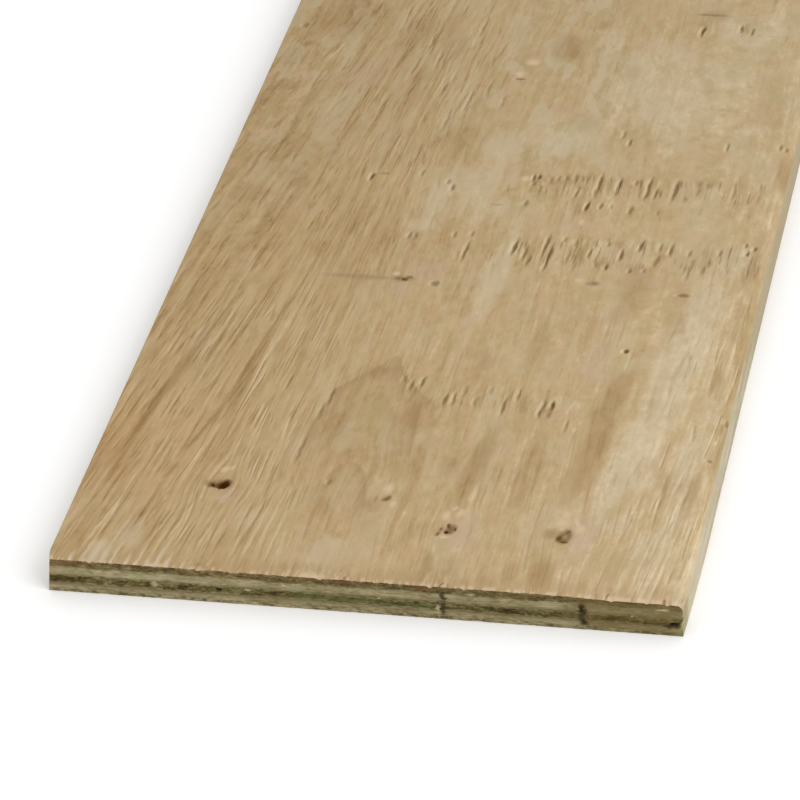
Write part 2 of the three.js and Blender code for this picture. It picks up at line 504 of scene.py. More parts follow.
def long_grain(name):
    """A veneer's underside: dry pine with its fibres along the sheet."""
    finish, (right, back, _) = start_finish(name)
    grain = right.carried("grain") * (1 / mm)
    fibre = back.streaks(grain, 9, 1.5, 1, detail=3)
    streak = back.streaks(grain, 130, 2.2, 2, detail=3)
    band = back.streaks(grain, 55, 6, 3)
    broad = back.streaks(grain, 260, 28, 4)
    tone = 0.5 + (fibre - 0.5) * 0.55 + (streak - 0.5) * 0.65 + (band - 0.5) * 0.35
    tone = tone + (broad - 0.5) * 0.5
    colour = tone.coloured(
        (0.10, from_display(128, 98, 62)),
        (0.33, from_display(166, 138, 98)),
        (0.50, from_display(185, 160, 120)),
        (0.68, from_display(202, 180, 141)),
        (0.92, from_display(226, 208, 174)),
    )
    return complete_finish(finish, colour, 0.8 - fibre * 0.1, fibre + streak, 0.25 * mm)


def lay_veneer(veneer, name, finishes):
    """Puts a finished veneer in its place in the sheet, where it stands for its solid."""
    bmesh.ops.translate(veneer, verts=veneer.verts, vec=(0, front_end, 0))
    mesh = bpy.data.meshes.new(name)
    veneer.to_mesh(mesh)
    veneer.free()
    piece = bpy.data.objects.new(name + "_wood", mesh)
    bpy.context.scene.collection.objects.link(piece)
    for finish in finishes:
        mesh.materials.append(finish)
    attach(piece, "root")
    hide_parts(name)


def mark_grain(veneer, grain_at):
    """Gives each vertex its place across the grain, carried on round the arrises."""
    grain_layer = veneer.verts.layers.float.new("grain")
    for vert in veneer.verts:
        vert[grain_layer] = grain_at(*vert.co)


def straight_grain(right, back, height):
    """The place across the grain where the fibres run straight along the sheet."""
    return right + (sheet_thickness - height) * (1 if right > 0 else -1)


# Splinters torn from the lower front arris: width, length and depth of the largest. The rows of
# the end that they push up keep this share of their distance apart.
lower_tears = list(splinters(13, 0.07))
largest_tear = (6.5 * mm, 5.2 * mm, 0.55 * mm)
crushed = 0.3

back_stations = stations(
    (4 * mm, 1 * mm), (80 * mm, 4 * mm), (sheet_length - 4 * mm, 20 * mm), (sheet_length, 1 * mm),
)
back_veneer = saw_veneer(0, 4, back_stations, glued=(1,))
mark_grain(back_veneer, straight_grain)
level_layer = back_veneer.verts.layers.float["level"]
for vert in back_veneer.verts:
    right, back, height = vert.co
    torn = splintered(right, back, lower_tears, *largest_tear)
    above = crushed * veneer_thicknesses[0] * vert[level_layer]
    vert.co.z = max(height, torn + above)
weather_ends(back_veneer)

# Veneers show light in the end where their grain runs across the sheet, and dark where it runs
# along it.
light_band = (146, 134, 101)
dark_band = (84, 73, 42)
back_face = long_grain("back_face")
back_end = end_grain("back_end", (122, 111, 79), (143, 134, 102), (158, 150, 118), light_band)
long_edge = ripped_edge("long_edge", 1.0)
lay_veneer(back_veneer, "back_veneer", [back_face, back_end, long_edge])


# ---- Crossbands ----
# Two thick veneers of the same softwood, laid with their grain across the sheet, so that the saw
# ran along their fibres at the front end. They are glued between the veneers above and below.

core_middle = (line_levels[2] + line_levels[3]) / 2


def side_grain(name, dark, light, pale, green, neighbour):
    """A veneer sawn along its fibres: soft lengthwise streaks, a few of them torn out dark."""
    finish, (right, back, up) = start_finish(name)
    along = right + back
    level = right.carried("level")
    fibres = along.streaks(up, 3.5, 0.9, 1, detail=4)
    stripes = along.streaks(up, 34, 2.2, 2)
    patch = along.streaks(up, 11, 6, 3, detail=3)
    tone = 0.5 + (fibres - 0.5) * 0.9 + (stripes - 0.5) * 0.5 + (patch - 0.5) * 0.9
    tone = tone - right.eased(-90, 10) * 0.1 - right.eased(88, 112) * 0.16
    colour = tone.coloured(
        (0.20, from_display(*dark, end_light)), (0.50, from_display(*light, end_light)),
        (0.78, from_display(*pale, end_light)),
    )
    left_red = right.eased(-138, -151) * along.streaks(up, 9, 5, 12).eased(0.40, 0.60)
    rim = level.eased(0.24, 0) + level.eased(0.76, 1)
    from_core = abs(up - core_middle / mm + right.eased(20, -110) * 0.45)
    colour = colour.stained(
        end_light,
        # Green from preservative in patches, and red at the left corner.
        (green, along.streaks(up, 8, 5, 5, detail=3).eased(0.50, 0.66) * 0.55),
        ((168, 128, 104), left_red * 0.5),
        # The next veneer's colour at the glue lines, round the core and just under the face.
        (neighbour, rim * along.streaks(up, 4, 1.2, 8).eased(0.42, 0.60) * 0.5),
        (neighbour, from_core.eased(4.4, 1.6) * (0.35 + patch * 0.5)),
        (neighbour, up.eased(13.2, 14.6) * right.eased(88, 60) * 0.2),
        # Darker towards the right corner.
        ((112, 97, 62), right.eased(88, 112) * 0.45),
    )
    colour = end_marks(colour, right, back, up)
    relief = fibres * 0.5 + stripes * 0.5 + patch
    return complete_finish(finish, colour, 0.88 - fibres * 0.1, relief, 0.35 * mm)


# The front right corner of the core, knocked off: place right and up, half width and half height,
# and depth.
knocked_corner = (half_width, 6.2 * mm, 3.2 * mm, 2.1 * mm, 4 * mm)

light_end = side_grain(
    "light_end", (118, 105, 72), light_band, (164, 152, 122), (134, 137, 102), dark_band,
)
crossband_side = ripped_edge("crossband_side", 0.93)
inner_stations = stations(
    (4 * mm, 1 * mm), (60 * mm, 6 * mm), (sheet_length - 4 * mm, 20 * mm), (sheet_length, 1 * mm),
)
for ply, name, levels in ((1, "lower_crossband", 7), (3, "upper_crossband", 10)):
    crossband = saw_veneer(ply, levels, inner_stations, glued=(-1, 1))
    mark_grain(crossband, straight_grain)
    weather_ends(crossband, [knocked_corner])
    lay_veneer(crossband, name, [light_end, light_end, crossband_side])


# ---- Centre veneer ----
# The core of the sheet, with its grain along it, so that the front end shows it cut square across
# and dark with preservative. The saw and later knocks broke pits out of it.

# Pits, as place right and up, half width and half height, and depth: a gap left of the middle,
# core wood lost at the right, and the glue line above the core, sprung open at the right corner.
core_gap = (-69 * mm, core_middle, 1.2 * mm, 0.75 * mm, 11 * mm)
lost_core = (half_width - 5.4 * mm, line_levels[2] + 1 * mm, 2.6 * mm, 0.85 * mm, 5 * mm)
sprung_line = (half_width, line_levels[3], 3.5 * mm, 0.55 * mm, 9 * mm)

centre_veneer = saw_veneer(2, 8, inner_stations, glued=(-1, 1))
mark_grain(centre_veneer, straight_grain)
weather_ends(centre_veneer, [core_gap, lost_core, sprung_line, knocked_corner])
dark_end = end_grain("dark_end", dark_band, (104, 91, 57), (128, 117, 83), light_band)
lay_veneer(centre_veneer, "centre_veneer", [back_face, dark_end, long_edge])


# ---- Face veneer ----
# The upper face: the cleanest peel, dry and slightly rough, with raised grain that leans to the
# right on the left side, pin knots, and rows of torn dashes where the lathe knife chattered.

# Pin knots: place right of the centreline and back from the front end, half width, half length
# and depth, in millimetres.
knots = [
    (-83.6, 71.6, 4.5, 4.7, 2.2),
    (33, 46.6, 3.3, 4, 1),
    (88.2, 47.4, 3.3, 5, 0.6),
    (-1.4, 68.5, 1.8, 2.6, 0.35),
]
# Fibres swerve round a knot by this share of its width. The swerve dies away over some of its
# lengths and some of its widths, and further than the reach, in those, there is none.
knot_bulge = 0.85
knot_flow = 3.4
knot_flow_reach = 2.5
knot_spread = 4
knot_spread_reach = 3

# Grain lines lean to the right as they go back, by this slope at the left edge, and by a share of
# it beyond a length. At the right edge they lean too, but only near the front.
grain_lean = 0.13
lean_start = -20 * mm
lean_width = 90 * mm
lean_length = 600 * mm
lean_beyond = 0.3
right_lean = 0.11
right_lean_start = 80 * mm
right_lean_width = 50 * mm
right_lean_length = 150 * mm
grain_wander = 2 * mm
fine_wander = 0.4 * mm

# Far back, between two places with soft rims, the grain leans further over. It also wavers there,
# everywhere left of a third place.
far_lean = 0.07
far_start = 400 * mm
far_lean_length = 200 * mm
far_left = -120 * mm
far_right = 50 * mm
far_rim = 60 * mm
far_waver = 3.2 * mm
waver_start = 360 * mm
waver_growth = 100 * mm
waver_right = 60 * mm
waver_rim = 80 * mm

# Below the figure of arches the grain fans out to the right, by this slope.
fan_lean = 0.25
fan_place = (-6 * mm, 110 * mm)
fan_width = 13 * mm
fan_length = 26 * mm


def smooth(share):
    """A share from 0 to 1 with its ends eased."""
    share = min(1, max(0, share))
    return share * share * (3 - 2 * share)


def face_grain(right, back, height):
    """The place across the grain, which stays the same all along one fibre."""
    lean = grain_lean * smooth((lean_start - right) / lean_width)
    run = back if back < lean_length else lean_length + lean_beyond * (back - lean_length)
    across = right - lean * run
    right_run = right_lean_length * math.tanh(back / right_lean_length)
    across -= right_lean * right_run * smooth((right - right_lean_start) / right_lean_width)
    leaning = smooth((far_right - right) / far_rim) * smooth((right - far_left) / far_rim)
    across -= far_lean * leaning * min(far_lean_length, max(0, back - far_start))
    across += grain_wander * unevenness(right, back, 70, 190, 3)
    across += fine_wander * unevenness(right, back, 24, 70, 4)
    wavering = smooth((waver_right - right) / waver_rim) * smooth((back - waver_start) / waver_growth)
    across += far_waver * wavering * unevenness(right, back, 30, 42, 7)
    fan_right, fan_back = (right - fan_place[0]) / fan_width, (back - fan_place[1]) / fan_length
    across += fan_lean * fan_back * fan_length * math.exp(-fan_right**2 - fan_back**2)
    for knot_right, knot_back, half_across, half_along, _ in knots:
        off_right = (right / mm - knot_right) / half_across
        off_back = (back / mm - knot_back) / (half_along * knot_flow)
        spread = abs(off_right) / knot_spread
        if abs(off_back) < knot_flow_reach and spread < knot_spread_reach:
            push = math.tanh(off_right) * math.exp(-off_back**2 - spread)
            across -= knot_bulge * half_across * mm * push
    return across + (sheet_thickness - height) * (1 if right > 0 else -1)


# Broad stains in the wood: place right and back, half width, half length, lean to the right as
# they go back, and strength, in millimetres and shares.
broad_stains = {
    "cream": [
        (120, 205, 17, 110, 0.08, 0.8), (110, 120, 13, 74, 0.16, 0.85), (14, 275, 10, 64, 0.05, 0.8),
        (-30, 350, 12, 36, 0.1, 0.7), (-10, 366, 16, 44, 0.05, 0.5), (-5, 405, 18, 22, 0, 0.9),
        (-34, 322, 11, 9, 0, 0.8), (-4, 338, 22, 24, 0, 0.5), (75, 475, 66, 80, 0, 0.5),
        (20, 420, 38, 32, 0, 0.5), (112, 550, 34, 32, 0, 0.35), (-23, 21, 13, 24, 0, 0.6),
        (-130, 3, 7, 16, 0.1, 0.35), (-100, 3, 6, 14, 0.1, 0.3), (33, 532, 14, 20, 0, 0.5),
        (138, 120, 10, 80, 0.1, 0.4), (-120, 330, 16, 50, 0.15, 0.2), (-30, 345, 20, 40, 0.1, 0.4),
        (149, 8, 7, 44, 0, 0.45), (124, 40, 8, 36, 0.1, 0.4), (-79, 60, 6, 8, 0, 0.4),
        (-118, 24, 12, 18, 0.1, 0.55), (-128, 12, 9, 12, 0.1, 0.5), (97, 42, 8, 10, 0, 0.42),
        (-67, 44, 8, 16, 0, 0.45), (-122, 200, 9, 30, 0.12, 0.42), (136, 302, 14, 26, 0, 0.55),
        (127, 436, 9, 18, 0, 0.48), (70, 160, 16, 10, 0, 0.42), (7, 350, 7, 66, 0, 0.34),
        (104, 435, 14, 16, 0, 0.34), (134, 60, 12, 120, 0.05, 0.36), (112, 60, 9, 14, 0, 0.5),
        (120, 150, 9, 60, 0.1, 0.5),
    ],
    "brown": [
        (2, 140, 12, 28, 0, 0.5), (-40, 128, 9, 26, 0, 0.45), (-24, 106, 20, 22, 0, 0.35),
        (8, 100, 8, 34, 0, 0.4), (-26, 178, 8, 12, 0.3, 0.5), (-94, 165, 4, 60, 0.11, 0.9),
        (-129, 160, 4, 100, 0.16, 0.9), (-102, 122, 3, 40, 0.22, 0.7), (92, 162, 9, 44, 0.12, 0.85),
        (90, 124, 10, 40, 0.12, 0.8), (87, 97, 9, 34, 0.1, 0.7), (82, 15, 8, 20, 0, 0.9),
        (36, 102, 7, 46, 0.11, 0.9), (28, 13, 4, 22, 0, 0.9), (38, 14, 8, 18, 0, 0.48),
        (22, 6, 9, 9, 0, 0.4), (68, 15, 8, 14, 0, 0.4), (-22, 4, 9, 6, 0, 0.3),
        (-75, 530, 22, 36, 0.15, 0.5), (-30, 410, 30, 30, 0, 0.35), (-112, 390, 34, 70, 0.1, 0.25),
        (10, 520, 12, 24, 0, 0.7), (22, 460, 10, 28, 0.1, 0.22), (-55, 290, 34, 56, 0, 0.25),
        (88, 567, 14, 12, 0, 0.5), (-135, 90, 12, 50, 0.2, 0.4), (-118, 545, 30, 46, 0.1, 0.6),
        (-100, 480, 30, 40, 0.1, 0.25), (147, 300, 7, 40, 0, 0.4), (151, 396, 7, 26, 0, 1),
        (62, 100, 9, 50, 0.05, 0.5), (150, 210, 5, 70, 0, 0.4), (150, 140, 5, 56, 0, 0.55),
        (48, 210, 9, 44, 0.03, 0.4), (70, 225, 5, 30, 0.05, 0.4), (136, 460, 12, 30, 0, 0.3),
        (60, 240, 14, 30, 0, 0.25), (-8, 62, 8, 10, 0, 0.5), (22, 100, 8, 16, 0, 0.42),
        (23, 190, 8, 24, 0, 0.42), (144, 238, 8, 30, 0, 0.45), (87, 266, 14, 44, 0, 0.5),
        (112, 250, 10, 40, 0, 0.38), (-134, 344, 16, 24, 0, 0.5), (143, 90, 8, 28, 0, 0.45),
        (-65, 462, 10, 60, 0.05, 0.48), (-52, 515, 9, 26, 0, 0.5), (33, 436, 14, 18, 0, 0.42),
        (-69, 314, 10, 54, 0, 0.42), (52, 495, 8, 16, 0, 0.4), (-142, 495, 8, 18, 0, 0.4),
        (-82, 200, 8, 18, 0, 0.4), (-112, 82, 8, 14, 0, 0.42), (-82, 292, 8, 16, 0, 0.36),
        (128, 98, 8, 16, 0, 0.36), (-97, 392, 9, 34, 0, 0.34), (6, 110, 46, 30, 0, 0.22),
    ],
    "pink": [
        (-20, 275, 16, 16, 0, 0.8), (79, 200, 10, 28, 0, 0.8), (-30, 22, 16, 16, 0, 0.5),
        (38, 45, 14, 20, 0, 0.7), (96, 50, 13, 22, 0, 0.8), (-78, 61, 7, 9, 0, 1),
        (-95, 480, 14, 36, 0.2, 0.6), (65, 270, 6, 9, 0, 0.5), (-2, 78, 6, 8, 0, 0.5),
        (-24, 172, 10, 10, 0, 0.5), (-44, 142, 6, 12, 0, 0.4), (62, 146, 10, 8, 0, 0.5),
        (-34, 257, 10, 9, 0, 0.9),
    ],
    "olive": [
        (-22, 138, 13, 18, 0, 0.9), (-30, 158, 9, 8, 0, 0.5), (114, 28, 12, 14, 0, 0.5),
        (128, 190, 12, 34, 0, 0.35), (54, 146, 14, 12, 0, 0.35), (132, 400, 16, 40, 0, 0.3),
        (-8, 425, 40, 50, 0, 0.25), (60, 420, 30, 26, 0, 0.25), (150, 250, 5, 60, 0, 0.5),
        (150, 130, 6, 50, 0, 0.5), (133, 482, 7, 26, 0, 0.9), (139, 440, 4, 20, 0, 0.7),
    ],
}
# Calm wood, where the raised lengthwise grain dies away.
calm_wood = [
    (-24, 128, 30, 58, 0, 1), (20, 118, 34, 40, 0, 0.6), (-18, 30, 30, 34, 0, 0.6),
    (-10, 230, 30, 34, 0, 0.5), (60, 200, 30, 34, 0, 0.5), (36, 46, 14, 18, 0, 0.7),
    (90, 50, 16, 18, 0, 0.8), (-83, 71, 12, 16, 0, 0.7), (62, 250, 90, 22, 0, 0.3),
    (40, 420, 110, 50, 0, 0.4), (-80, 55, 10, 14, 0, 0.5), (110, 480, 50, 110, 0, 0.8),
    (100, 330, 60, 90, 0, 0.5),
]

# Growth rings that the lathe cut through near a dip in the log show as nested pointed arches,
# each sharp outside and fading inwards: the apex right and back, how far the brown fades inwards,
# strength, and its legs as how far down, how far left and how far right, in millimetres.
arches = [
    (-20.6, 194, 7, 1, [
        (0, 0, 0), (14, 9, 4.4), (21, 14.4, 7.5), (35, 25.7, 19), (64, 30, 20.6), (120, 32, 25),
    ]),
    (-23.5, 160, 5, 0.5, [(0, 0, 0), (10, 10, 7), (24, 14, 13), (48, 15, 17), (80, 14, 20)]),
    (-25, 97, 5, 0.8, [(0, 0, 0), (3, 4, 4), (11, 7.5, 9), (24, 9, 12), (60, 11, 15)]),
    (-24, 84, 4, 0.4, [(0, 0, 0), (8, 3, 4), (40, 6, 8)]),
]
# How far a ring fades outwards.
arch_rim = 1.1

# Rows of knife chatter: place back, half length, from and to right of the centreline, strength.
chatter_rows = [
    (302, 19, 16, 152, 1), (300, 16, -62, 16, 0.4), (370, 14, 12, 146, 1), (346, 10, 40, 120, 0.4),
    (162, 17, -18, 68, 0.5), (158, 14, 68, 120, 0.2), (550, 12, 76, 116, 0.7), (410, 16, -100, -20, 0.35),
]
# How far in from its sides a row fades.
chatter_fade = 8

# Stains and small marks fade away towards this share of their half width.
soft_edge = 1.15


def stain_strength(right, back, stains):
    """How strong a group of soft-edged stains is at a place, in millimetres."""
    strength = 0
    for centre_right, centre_back, half_across, half_along, lean, most in stains:
        off_back = (back - centre_back) / half_along
        off_right = (right - centre_right - lean * (back - centre_back)) / half_across
        off = math.hypot(off_right, off_back)
        if off < 1:
            strength = max(strength, most * smooth(soft_edge - off))
    return strength


def leg_place(legs, down, side):
    """How far out an arch's left (1) or right (2) leg stands, and how steeply it spreads there."""
    for (above, *outs), (below, *next_outs) in zip(legs, legs[1:]):
        if above <= down < below:
            start, end = outs[side - 1], next_outs[side - 1]
            steepness = (end - start) / (below - above)
            return start + steepness * (down - above), steepness
    return None


def arch_strength(right, back):
    """How dark a growth ring is at a place in the figure of arches, in millimetres."""
    strength = 0
    for apex_right, apex_back, fade_in, most, legs in arches:
        down = apex_back - back
        leg = leg_place(legs, down, 1 if right < apex_right else 2)
        if leg:
            inside = (leg[0] - abs(right - apex_right)) / math.hypot(1, leg[1])
            shade = math.exp(-inside / fade_in) if inside > 0 else math.exp(-((inside / arch_rim) ** 2))
            fade = smooth(2.2 * (1 - down / legs[-1][0]))
            strength = max(strength, most * fade * shade)
    return strength


def chatter_strength(right, back):
    """How hard the knife chattered at a place, in millimetres."""
    strength = 0
    for centre_back, half_length, start, end, most in chatter_rows:
        along = 1 - abs(back - centre_back) / half_length
        across = min(right - start, end - right) / chatter_fade
        if along > 0 and across > 0:
            strength = max(strength, most * smooth(along * 2) * smooth(across))
    return strength


def rise(value, start, end):
    """0 at start, 1 at end and eased between, whichever of the two is the larger."""
    return smooth((value - start) / (end - start))


def streak_strength(right, back):
    """How strong the lengthwise streaks are at a place, in millimetres: strongest at the left,
    less so far back, weak in the middle, and a little stronger again at the right edge."""
    left_rim = -35 + 32 * rise(back, 240, 360)
    left = rise(right, left_rim, left_rim - 45)
    edge = 0.42 * rise(right, 95, 135) * rise(back, 420, 220)
    near = 1 - (0.3 + 0.25 * rise(right, -60, -120)) * rise(back, 180, 430)
    near += 0.3 * rise(back, 330, 410) * rise(right, -115, -75) * rise(right, 30, -20)
    base = 0.34 + 0.14 * rise(right, 15, -45)
    calm = 1 - 0.85 * stain_strength(right, back, calm_wood)
    return (base + ((1 - base) * left + edge) * near) * calm


# Rows across the face are closest at the front arris and the knots, and close in the figure of
# arches and where the knife chattered.
face_stations = stations(
    (3 * mm, 0.5 * mm), (39 * mm, 2 * mm), (80 * mm, 1 * mm), (198 * mm, 2 * mm),
    (284 * mm, 6 * mm), (320 * mm, 2 * mm), (352 * mm, 4 * mm), (384 * mm, 2 * mm),
    (590 * mm, 5 * mm), (sheet_length - 3 * mm, 18 * mm), (sheet_length, 1 * mm),
)
face_veneer = saw_veneer(4, 8, face_stations, glued=(-1,), bunched=True)
mark_grain(face_veneer, face_grain)
wood_layers = {
    name: face_veneer.verts.layers.float.new(name)
    for name in (*broad_stains, "arches", "chatter", "streaky")
}
for vert in face_veneer.verts:
    right, back = vert.co.x / mm, vert.co.y / mm
    for stain, spots in broad_stains.items():
        vert[wood_layers[stain]] = stain_strength(right, back, spots)
    vert[wood_layers["arches"]] = arch_strength(right, back)
    vert[wood_layers["chatter"]] = chatter_strength(right, back)
    vert[wood_layers["streaky"]] = streak_strength(right, back)

# Relief of the face: gentle ridges along the grain, ragged pits in the knots, splinters torn from
# the front arris, and an arris that is broken unevenly and drops away to the right.
ridge_height = 0.12 * mm
knot_raggedness = 0.28
upper_nicks = list(splinters(16, 0.96))
largest_nick = (2.6 * mm, 3.4 * mm, 0.9 * mm)
arris_reach = 2 * mm
arris_break = 0.34 * mm
arris_drop = 0.8 * mm
drop_start = 90 * mm
drop_width = 30 * mm
# Wood deeper than this below the flat of the face stays where it is.
relief_reach = 3 * mm


def face_relief(right, back, across):
    """How far the wood lies below the flat of the face, from 0 up."""
    ridge = unevenness(across, back, 3.2, 70, 5)
    ridge += 0.6 * unevenness(across, back, 1.7, 22, 6)
    lowered = ridge_height * (0.6 + 0.5 * ridge)
    for knot_right, knot_back, half_across, half_along, depth in knots:
        off_right = (right / mm - knot_right) / half_across
        off_back = (back / mm - knot_back) / half_along
        off = math.hypot(off_right, off_back) + knot_raggedness * unevenness(right, back, 1.3, 1.3, 8)
        if off < 1:
            lowered += depth * mm * (1 - off**2) ** 0.7
    return max(0, lowered)


grain_layer = face_veneer.verts.layers.float["grain"]
level_layer = face_veneer.verts.layers.float["level"]
for vert in face_veneer.verts:
    right, back, height = vert.co
    if height > sheet_thickness - relief_reach:
        lowered = face_relief(right, back, vert[grain_layer])
        lowered += splintered(right, back, upper_nicks, *largest_nick)
        if back < arris_reach:
            chipped = unevenness(right, back, 5, 2, 21) + 0.6 * unevenness(right, back, 2.2, 2, 22)
            dropped = arris_drop * smooth((right - drop_start) / drop_width)
            dropped += arris_break * max(0, chipped + 0.15)
            lowered += dropped * (1 - back / arris_reach)
        below = crushed * veneer_thicknesses[4] * (1 - vert[level_layer])
        vert.co.z = min(height, sheet_thickness - lowered - below)
weather_ends(face_veneer)

# Small marks in the face, by kind: colour, strength and how soft the rim is. Each is an oval: place
# right and back, half width, half length, and where it isn't 0, its turn to the right in degrees.
small_marks = {
    "line": ((146, 118, 76), 0.55, 0, [
        (-135.6, 118, 1.3, 52, 9), (-121.4, 205, 1.1, 50, 9.5), (-103, 120, 0.9, 32, 13),
        (-90.5, 214, 1.1, 38, 7), (-94.6, 172, 1.5, 34, 5), (-100.2, 118, 0.8, 24, 7),
        (-108.4, 112, 0.8, 24, 5), (-62, 133, 0.8, 14, 3), (-79.5, 177, 0.7, 18, 2),
        (-132.4, 44, 0.9, 24, 12), (-107.2, 30, 0.9, 24, 11), (-98.6, 32, 1, 26, 9), (-83, 28, 0.8, 22, 6),
        (-71, 62, 0.8, 18, 7), (-60, 44, 0.8, 42, 3), (-114, 536, 1.1, 22, 12), (-122.6, 502, 1.2, 18, 16),
        (-122.4, 474, 1, 16, 10), (-100.8, 488, 1.4, 16, 12), (-105, 462, 0.9, 14, 6),
        (-78.6, 502, 1.8, 28, 11), (-53.8, 496, 1.2, 16, 10), (-64.4, 412, 1.3, 10, 8),
        (-86, 451, 1.2, 10, 10), (-136, 512, 3.2, 5, 20), (-79, 446, 1, 9),
    ]),
    "split fibre": ((216, 202, 174), 0.6, 0, [
        (-130.6, 4, 3.4, 20, 7), (-125.4, 2, 2.4, 15, 5), (-120.8, 4, 1.3, 21, 6), (-134.6, 8, 1.2, 16, 9),
        (-141, 2, 1.6, 9, 5), (-113.6, 2, 1.8, 9, 6), (-108.4, 6, 1, 18, 9), (-99.2, 7, 1.7, 22, 8),
        (-94.4, 2, 2, 12, 4), (-86.6, 1, 1.6, 7, 4), (-103.4, 1, 1.4, 8, 6),
    ]),
    "pale line": ((217, 195, 157), 0.65, 0, [
        (-134.2, 30, 1, 28, 11), (-104.6, 32, 0.9, 24, 11), (-81.2, 30, 0.7, 22, 8),
        (-69.2, 62, 0.7, 18, 8), (-96.2, 36, 0.9, 24, 10), (-58, 34, 0.9, 34, 4), (-53, 44, 0.8, 34, 5),
        (-48, 35, 0.7, 30, 2), (-43, 523, 1, 9, 4), (-51.6, 476, 0.9, 16, 8), (-48, 480, 0.9, 12, 8),
        (-118.6, 504, 0.9, 16, 16),
    ]),
    "halo": ((218, 193, 158), 0.75, 0.1, [
        (-84.6, 84, 2.4, 4, 20), (-81.2, 85.6, 1.6, 3.5, 20), (29.6, 57.5, 2.6, 5), (32.5, 64, 1.8, 3, 30),
        (36.4, 60.6, 3, 5, 20), (31.7, 40, 3, 1.8), (86, 58, 5, 5.6), (86.6, 64.5, 2.6, 4.4),
        (92.4, 59, 1.8, 5.4, -20), (95, 54, 3.4, 5), (86, 53, 1.2, 1.6), (-2, 77, 3.6, 5.5),
        (2.4, 64, 2.2, 3.4), (49.7, 332.5, 1.6, 4), (-37.4, 271.4, 3.2, 2.6), (58, 275, 3, 2.4),
        (-5, 502, 5.5, 4.5), (-10, 488, 3.5, 5), (12.5, 374.5, 3, 3.5), (23, 370, 1.4, 3.4),
    ]),
    "tan": ((163, 132, 94), 0.7, 0.2, [
        (81.6, 48.6, 5, 6), (34, 88, 1.2, 6, 10), (-6.6, 67.4, 1, 4.6), (-90.6, 71.5, 3.2, 3.4),
        (-84.2, 71, 6.4, 5.8, 20), (28.6, 45, 1.7, 5, 10), (-1.6, 68.4, 2.8, 4.6, 20),
    ]),
    "smudge": ((166, 136, 94), 0.5, 0, [
        (66, 293, 5, 9), (27.4, 295, 3.4, 10), (37, 300, 3.8, 15), (83.6, 289, 5, 8), (53.4, 370, 2.8, 16),
        (80.6, 368, 2.6, 14), (18.6, 373, 4, 9), (107, 371, 5, 10), (73.8, 346, 2.8, 8), (94, 368, 2.8, 14),
        (26.6, 372, 4, 9), (62, 152, 5, 10), (14.6, 514, 6, 14), (28, 548, 4, 9), (84, 556, 5, 9),
        (109, 550, 5, 7), (53, 298, 2.6, 14),
    ]),
    "bark": ((126, 96, 56), 0.85, 0.35, [
        (-88.2, 70.2, 2.6, 3.4, 20), (29.2, 46.6, 0.8, 1.8, 10), (28.5, 42.2, 1.1, 2.4, 10),
        (33.4, 46.8, 3.5, 5.2, 20), (88.4, 47.2, 4.3, 7.4, 10), (89.6, 51.2, 1.6, 1.6),
        (-1.2, 68.6, 1.9, 3.2, 35), (-84, 71.4, 4.6, 4.4, 20),
    ]),
    "heart": ((170, 142, 100), 0.9, 0.1, [
        (89, 47.6, 1.6, 2.6), (34.8, 46, 1.2, 1.8), (-85.4, 74.4, 1.6, 1.2, 30),
    ]),
    "pith": ((94, 62, 20), 0.85, 0.3, [
        (32.4, 49.9, 1.3, 2), (86.2, 45.6, 1.5, 3.4, 10), (88.8, 42.8, 2.7, 1.6),
        (-83.2, 71.6, 4.4, 4.4, 40), (-87.6, 70.4, 1.6, 2.4), (35.8, 47.2, 0.8, 1.8),
    ]),
    # Dark knot wood deepened to near-black at the bottom of the knot holes: painted shade.
    "hole_shade": ((58, 30, 0), 0.95, 0.45, [
        (-82.4, 72.4, 3.6, 4, 40), (31.7, 44.8, 1.3, 2, 10), (-87.4, 70, 0.8, 1.2),
    ]),
    "nick": ((134, 96, 62), 0.75, 0.2, [
        (142.5, 1.2, 1, 2.8), (115.8, 2.2, 0.7, 3.4, 12), (-8, 1.6, 0.8, 2.2), (37.8, 2, 0.8, 3, 20),
    ]),
}

